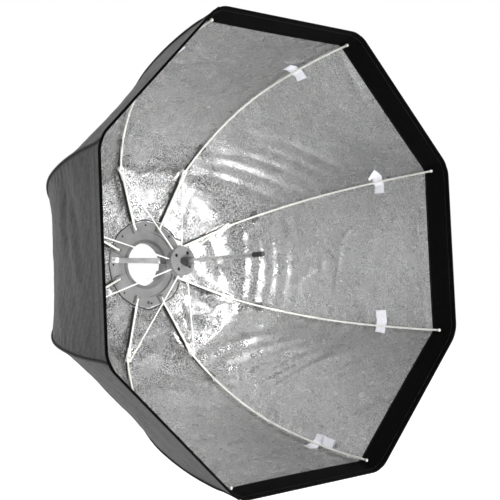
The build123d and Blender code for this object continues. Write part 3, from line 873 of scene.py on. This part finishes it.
def build_lip_bands():
    """The wide black pile band inside the rim."""
    for rib in range(1, RIBS + 1):
        lifts = (LIP_THICK, 0.0001)
        arrays = cloth_shell(rib, LIP_RUN, RIM_RUN - 0.001, 22, HALF_COLUMNS, lifts, LIP_EDGE)
        mesh = quad_mesh(f"rim_band_{rib}", *arrays[:4], [FINISH["rim_webbing"]], arrays[4] * 0)
        piece = add_object(f"rim_band_{rib}", mesh, f"rod_{rib}")
        squash_to_rib(piece)
        declare_cloth(LIP_RUN)


def across_rib(rib, run, lift, columns=HALF_COLUMNS):
    """Points and normals from one gore's middle to the next. run None follows the opening's edge."""
    points, normals = [], []
    for side in (-1, 1):
        gore, taus = gore_beside(rib, side), half_taus(side, columns)
        runs = opening_run(taus, gore) + HUB_HEM_IN if run is None else np.full(columns, run)
        start = 0 if side < 0 else 1
        points.append(cloth(runs, taus, gore, lift)[start:])
        normals.append(cloth_normal(runs, taus, gore)[start:])
    return np.concatenate(points), np.concatenate(normals)


def edge_roll(name, rib, points, normals, size, slot_name, body, keep):
    """A rolled hem along the cloth's edge, from one gore's middle to the next."""
    sides = np.cross(normals, along_line(points))
    mesh = loft(name, points, sides, normals, round_section(*size), FINISH[slot_name])
    squash_to_rib(add_object(name, tidy_normals(mesh), body))


def build_hems():
    for rib in range(1, RIBS + 1):
        rim = across_rib(rib, RIM_RUN - 0.0012, 0.0002)
        edge_roll(f"rim_hem_{rib}", rib, *rim, RIM_HEM, "rim_webbing", f"rod_{rib}", LIP_KEEP)
        opening = across_rib(rib, None, -0.0003)
        edge_roll(f"hub_hem_{rib}", rib, *opening, HUB_HEM, "seam_binding", f"arm_{rib}", HUB_KEEP)


def build_piping(name, rib, runs, body):
    """A cord along the seam, in the rib's plane."""
    points = cloth(runs, np.full(len(runs), -1.0), rib, PIPING_LIFT)
    along = np.broadcast_to(directions(rib_azimuth(rib))[1], points.shape)
    ups = np.cross(along_line(points), along)
    mesh = loft(name, points, along, ups, round_section(*PIPING), FINISH["seam_binding"])
    add_object(name, tidy_normals(mesh), body)


def beside_seam(rib, side, runs, distance, lift):
    """Points and normals on the cloth at a distance from the seam, on one side of a rib."""
    gore = gore_beside(rib, side)
    apothem = np.interp(runs, CLOTH[0], CLOTH[1])
    tau = (distance / (apothem * TAN_HALF) - 1) * side
    return cloth(runs, tau, gore, lift), cloth_normal(runs, tau, gore)


def seam_tape_mesh(name, rib, runs, half_width, thick, material):
    """A thin felled seam that lies on both gores, with rounded edges."""
    parts = []
    across = np.linspace(0, 1, 7)
    for side in (1, -1):
        shares = across if side > 0 else across[::-1]
        top, bottom, normals, uv = [], [], [], []
        for share in shares:
            crown = 0.0001 + thick * math.sqrt(max(0.0, 1 - share**6))
            inner, normal = beside_seam(rib, side, runs, share * half_width, crown)
            top.append(inner)
            bottom.append(beside_seam(rib, side, runs, share * half_width, 0.00005)[0])
            normals.append(normal)
            uv.append(np.stack([np.full(len(runs), side * share * half_width), runs], axis=-1))
        stacked = [np.stack(rows, axis=1) for rows in (top, bottom, normals, uv)]
        parts.append(shell_parts(*stacked))
    arrays = join_parts(parts)
    return quad_mesh(name, *arrays[:4], [material], arrays[4] * 0)


def build_seams():
    """Felled seams inside with a row of stitches each side, and a corded piping outside."""
    knee = float(run_at(SEAM_JOINT * COS_HALF))
    spans = (("arm", 0.004, knee, knee), ("rod", knee, float(LIP_RUN), float(RIM_RUN) - 0.001))
    for rib in range(1, RIBS + 1):
        for body, low, high, cord_high in spans:
            runs = np.linspace(low, high, max(12, int((high - low) / 0.005)))
            name = f"seam_tape_{body}_{rib}"
            mesh = seam_tape_mesh(name, rib, runs, TAPE_HALF, TAPE_THICK, FINISH["silver_lining"])
            squash_to_rib(add_object(name, mesh, f"{body}_{rib}"))
            for side, word in ((1, "a"), (-1, "b")):
                points, normals = beside_seam(rib, side, runs, THREAD_ASIDE, THREAD_LIFT)
                name = f"seam_thread_{body}_{rib}_{word}"
                mesh = stitches(name, points, normals, FINISH["grey_thread"], thick=THREAD_THICK)
                squash_to_rib(add_object(name, mesh, f"{body}_{rib}"))
            runs = np.linspace(low, cord_high, max(12, int((cord_high - low) / 0.006)))
            build_piping(f"seam_piping_{body}_{rib}", rib, runs, f"{body}_{rib}")


def fin_heights(radii):
    """Heights of the cloth and of the arm or rod over it, at distances from the axis."""
    runs = run_at(radii * COS_HALF)
    cloth_heights = np.interp(runs, CLOTH[0], CLOTH[2])
    arm = (radii - PIVOT[0]) / (KNUCKLE[0] - PIVOT[0]) * KNUCKLE[1]
    rod = np.interp(radii, ROD[1], ROD[2])
    bar = np.where(radii < KNUCKLE[0], arm, rod)
    return cloth_heights, bar


def build_fins():
    """A black binding fin under each arm, tall at the middle and thinning out past the knuckle."""
    for rib in range(1, RIBS + 1):
        for body, low, high in FIN_SPANS:
            radii = np.linspace(low, high, 28)
            bottom, bar = fin_heights(radii)
            share = 0.80 * smooth(0.098, 0.135, radii) * (1 - 0.90 * smooth(0.215, 0.300, radii))
            top = bottom + 0.0012 + (bar - 0.0034 - bottom) * share
            _, along, forward = directions(rib_azimuth(rib))
            middle = (bottom + top) / 2
            centres = np.array([rib_point(rib, r, m) for r, m in zip(radii, middle)])
            half = (top - bottom) / 2
            sides = np.broadcast_to(along, centres.shape)
            ups = np.broadcast_to(forward, centres.shape)
            outline = round_section(1.0, 2.0, corners=14)
            section = np.broadcast_to(outline, (len(radii),) + outline.shape).copy()
            section[..., 0] *= (0.0018 + 0.0052 * (1 - smooth(0.110, 0.260, radii)))[:, None]
            section[..., 1] *= half[:, None]
            mesh = loft(f"arm_binding_{body}_{rib}", centres, sides, ups, section, FINISH["seam_binding"])
            add_object(mesh.name, tidy_normals(mesh), f"{body}_{rib}")


def build_rim_stitching():
    """Rows of stitches on the rim band's two edges and round the outside."""
    rows = (
        ("band_thread_in", LIP_RUN + 0.004, LIP_THICK + 0.0001, 1),
        ("band_thread_out", RIM_RUN - 0.008, LIP_THICK + 0.0001, 1),
        ("rim_thread", RIM_RUN - 0.026, -CLOTH_THICK - 0.0002, -1),
        ("rim_thread_edge", RIM_RUN - 0.006, -CLOTH_THICK - 0.0002, -1),
    )
    for rib in range(1, RIBS + 1):
        for name, run, lift, face in rows:
            points, normals = across_rib(rib, run, lift, columns=90)
            mesh = stitches(f"{name}_{rib}", points, normals * face, FINISH["black_thread"])
            piece = add_object(mesh.name, mesh, f"rod_{rib}")
            squash_to_rib(piece)


# ---------------------------------------------------------------- keepers and tabs on the rods
def under_rod_strap(name, rib, height, size, slot_name, twist=0.0, one_side=0.0):
    """A sewn strap that passes under a rod, from the cloth on one side to the cloth on the other."""
    long, half_across, thick = size
    run = run_at_height(height)
    along = directions(rib_azimuth(rib))[1]
    shares = np.linspace(-1, 1, 25)
    rod_gap = ROD_RADIUS + thick / 2 + 0.0004
    lean = np.interp(height, ROD[2], ROD[3])
    radius = float(np.interp(height, ROD[2], ROD[1])) + rod_gap * math.sin(lean)
    rod_side = rib_point(rib, radius, height - rod_gap * math.cos(lean))
    centres, normals = [], []
    for share in shares:
        gore = gore_beside(rib, share)
        apothem = float(np.interp(run, CLOTH[0], CLOTH[1]))
        offset = abs(share) * half_across * (1 + one_side * share)
        tau = -1 + offset / (apothem * TAN_HALF) if share >= 0 else 1 - offset / (apothem * TAN_HALF)
        stand_off = 0.0012 + thick / 2 + long / 2 * math.sin(twist * float(smooth(0.45, 1.0, share)))
        ground = cloth(np.array([run]), np.array([tau]), gore, stand_off)[0]
        bridge = rod_side + along * share * half_across
        weight = 1 - smooth(0.12, 0.62, abs(share))
        centres.append(ground * (1 - weight) + bridge * weight)
        normals.append(cloth_normal(np.array([run]), np.array([tau]), gore)[0])
    centres, normals = np.array(centres), np.array(normals)
    ahead = along_line(centres)
    sides = np.cross(normals, ahead)
    sides /= np.linalg.norm(sides, axis=1, keepdims=True)
    turn = twist * smooth(0.45, 1.0, shares)[:, None]
    ups = np.cross(ahead, sides)
    sides, ups = sides * np.cos(turn) + ups * np.sin(turn), ups * np.cos(turn) - sides * np.sin(turn)
    section = round_section(long, thick, corners=20)
    flare = 1 + 0.10 * shares**2
    sections = np.broadcast_to(section, (len(shares),) + section.shape).copy()
    sections[..., 0] *= flare[:, None]
    mesh = loft(name, centres, sides, ups, sections, FINISH[slot_name])
    squash_to_rib(add_object(name, tidy_normals(mesh), f"rod_{rib}"))


def build_keepers():
    height = float(np.interp(KEEPER_RADIUS, ROD[1], ROD[2]))
    for rib in range(1, RIBS + 1):
        under_rod_strap(f"rod_keeper_{rib}", rib, height, KEEPER, "grey_keeper")


def build_tabs():
    for rib in range(1, RIBS + 1):
        height = TAB_HEIGHT + TAB_WANDER * math.sin(rib * 2.1)
        twist, pull = TAB_TWIST.get(rib, 0.0), TAB_PULL.get(rib, 0.0)
        under_rod_strap(f"rod_tab_{rib}", rib, height, TAB, "white_tab", twist, pull)


def flat_rings(name, places, front, body, slot_name):
    """Thin rings about places on a face across the light's axis. front is the face's Y."""
    section = [(SHADE_RING_INNER, 0.0), (SHADE_RING_OUTER, 0.0), (SHADE_RING_OUTER, -SHADE_RING_THICK), (SHADE_RING_INNER, -SHADE_RING_THICK)]
    verts, faces, turns = [], [], 36
    for x, z in places:
        base = len(verts)
        for k in range(turns):
            turn = 2 * math.pi * k / turns
            for radius, depth in section:
                verts.append((x + radius * math.cos(turn), front + depth, z + radius * math.sin(turn)))
        for k in range(turns):
            a, b = base + 4 * k, base + 4 * ((k + 1) % turns)
            for j in range(4):
                m = (j + 1) % 4
                faces.append((a + j, a + m, b + m, b + j))
    mesh = plain_mesh(name, verts, faces, FINISH[slot_name], smoothed=False)
    add_object(name, tidy_normals(mesh), body)


def build_screw_shade_rings():
    """Thin black rings round the screws on the runner's front disc. They are painted shade that stands for
    the shadow inside the screws' wells.
    """
    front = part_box("runner_front_disc")[0].y
    turns = [math.radians(DISC_SCREW_ANGLE + 90 * n) for n in range(DISC_SCREWS)]
    places = [(DISC_SCREW_CIRCLE * math.cos(turn), DISC_SCREW_CIRCLE * math.sin(turn)) for turn in turns]
    flat_rings("runner_screw_shade_rings", places, front, "runner", "dark_screw")


def build_label():
    """A small blank white label that stands on the cloth beside a seam."""
    low, high = (run_at_height(height) for height in LABEL_HEIGHTS)
    runs = np.linspace(low, high, 12)
    top, bottom, normals, uv = [], [], [], []
    for share in np.linspace(0, 1, 12):
        distance = LABEL_ASIDE + LABEL_WIDTH * share
        rise = LABEL_LIFT + LABEL_CURL * math.sin(2.2 * share)
        inner, normal = beside_seam(LABEL_RIB, 1, runs, distance, rise + LABEL_THICK)
        top.append(inner)
        bottom.append(beside_seam(LABEL_RIB, 1, runs, distance, rise)[0])
        normals.append(normal)
        uv.append(np.stack([np.full(len(runs), distance), runs], axis=-1))
    arrays = shell_parts(*[np.stack(rows, axis=1) for rows in (top, bottom, normals, uv)])
    mesh = quad_mesh("blank_label", *arrays[:4], [FINISH["white_tab"]], arrays[4] * 0)
    piece = add_object("blank_label", mesh, f"rod_{LABEL_RIB}")
    squash_to_rib(piece)


# ---------------------------------------------------------------- stage, light and camera
def build_stage():
    f = Finish("floor", grey(0.80), 0.9, Emission_Color=(1, 1, 1, 1), Emission_Strength=0.75)
    f.tint(f.noise(2), grey(0.78), grey(0.82))
    quarters = ((-1, -1), (1, -1), (1, 1), (-1, 1))
    corners = [(x * FLOOR_SIZE, y * FLOOR_SIZE, FLOOR_HEIGHT) for x, y in quarters]
    mesh = plain_mesh("floor", corners, [(0, 1, 2, 3)], f.material, smoothed=False)
    floor = bpy.data.objects.new("floor", mesh)
    bpy.context.scene.collection.objects.link(floor)


def area_light(name, place, target, size, power, spread):
    data = bpy.data.lights.new(name, "AREA")
    data.shape = "RECTANGLE"
    data.size, data.size_y = size
    data.energy = power
    data.spread = math.radians(spread)
    lamp = bpy.data.objects.new(name, data)
    lamp.location = place
    lamp.rotation_mode = "QUATERNION"
    lamp.rotation_quaternion = (Vector(target) - Vector(place)).to_track_quat("-Z", "Y")
    bpy.context.scene.collection.objects.link(lamp)


def build_light():
    world = bpy.data.worlds.new("studio")
    bpy.context.scene.world = world
    world.use_nodes = True
    nodes, links = world.node_tree.nodes, world.node_tree.links
    background = nodes["Background"]
    place = nodes.new("ShaderNodeTexCoord")
    axes = nodes.new("ShaderNodeSeparateXYZ")
    behind = nodes.new("ShaderNodeMapRange")
    behind.inputs["From Min"].default_value, behind.inputs["From Max"].default_value = WORLD_FROM
    behind.inputs["To Min"].default_value, behind.inputs["To Max"].default_value = WORLD_STRENGTH
    links.new(place.outputs["Generated"], axes.inputs[0])
    links.new(axes.outputs["Y"], behind.inputs["Value"])
    links.new(behind.outputs["Result"], background.inputs["Strength"])
    background.inputs["Color"].default_value = (1.0, 1.0, 1.0, 1)
    seen = nodes.new("ShaderNodeBackground")
    seen.inputs["Color"].default_value = (1.0, 1.0, 1.0, 1)
    path = nodes.new("ShaderNodeLightPath")
    mix = nodes.new("ShaderNodeMixShader")
    links.new(path.outputs["Is Camera Ray"], mix.inputs["Fac"])
    links.new(background.outputs[0], mix.inputs[1])
    links.new(seen.outputs[0], mix.inputs[2])
    links.new(mix.outputs[0], nodes["World Output"].inputs["Surface"])
    for light in LIGHTS:
        area_light(*light)
    bpy.context.scene.view_settings.view_transform = "Standard"


def build_camera():
    azimuth, elevation, roll = (math.radians(angle) for angle in CAMERA_ANGLES)
    back = Vector(
        (
            math.sin(azimuth) * math.cos(elevation),
            -math.cos(azimuth) * math.cos(elevation),
            math.sin(elevation),
        )
    )
    level = Vector((math.cos(azimuth), math.sin(azimuth), 0))
    up = back.cross(level)
    right = math.cos(roll) * level + math.sin(roll) * up
    above = -math.sin(roll) * level + math.cos(roll) * up
    data = bpy.data.cameras.new("camera")
    data.lens, data.sensor_width = CAMERA_LENS, CAMERA_SENSOR
    data.clip_start, data.clip_end = 0.05, 60
    camera = bpy.data.objects.new("camera", data)
    place = back * CAMERA_DISTANCE + right * CAMERA_RIGHT + above * CAMERA_UP
    place += Vector((0, -PIVOT_SETBACK, 0))
    camera.matrix_world = Matrix.Translation(place) @ Matrix((right, above, back)).transposed().to_4x4()
    bpy.context.scene.collection.objects.link(camera)
    bpy.context.scene.camera = camera


# ---------------------------------------------------------------- build
finish_cad_nodes()
build_canopy()
build_lip_bands()
build_hems()
build_seams()
build_fins()
build_rim_stitching()
build_keepers()
build_tabs()
build_screw_shade_rings()
build_label()
build_stage()
build_light()
build_camera()
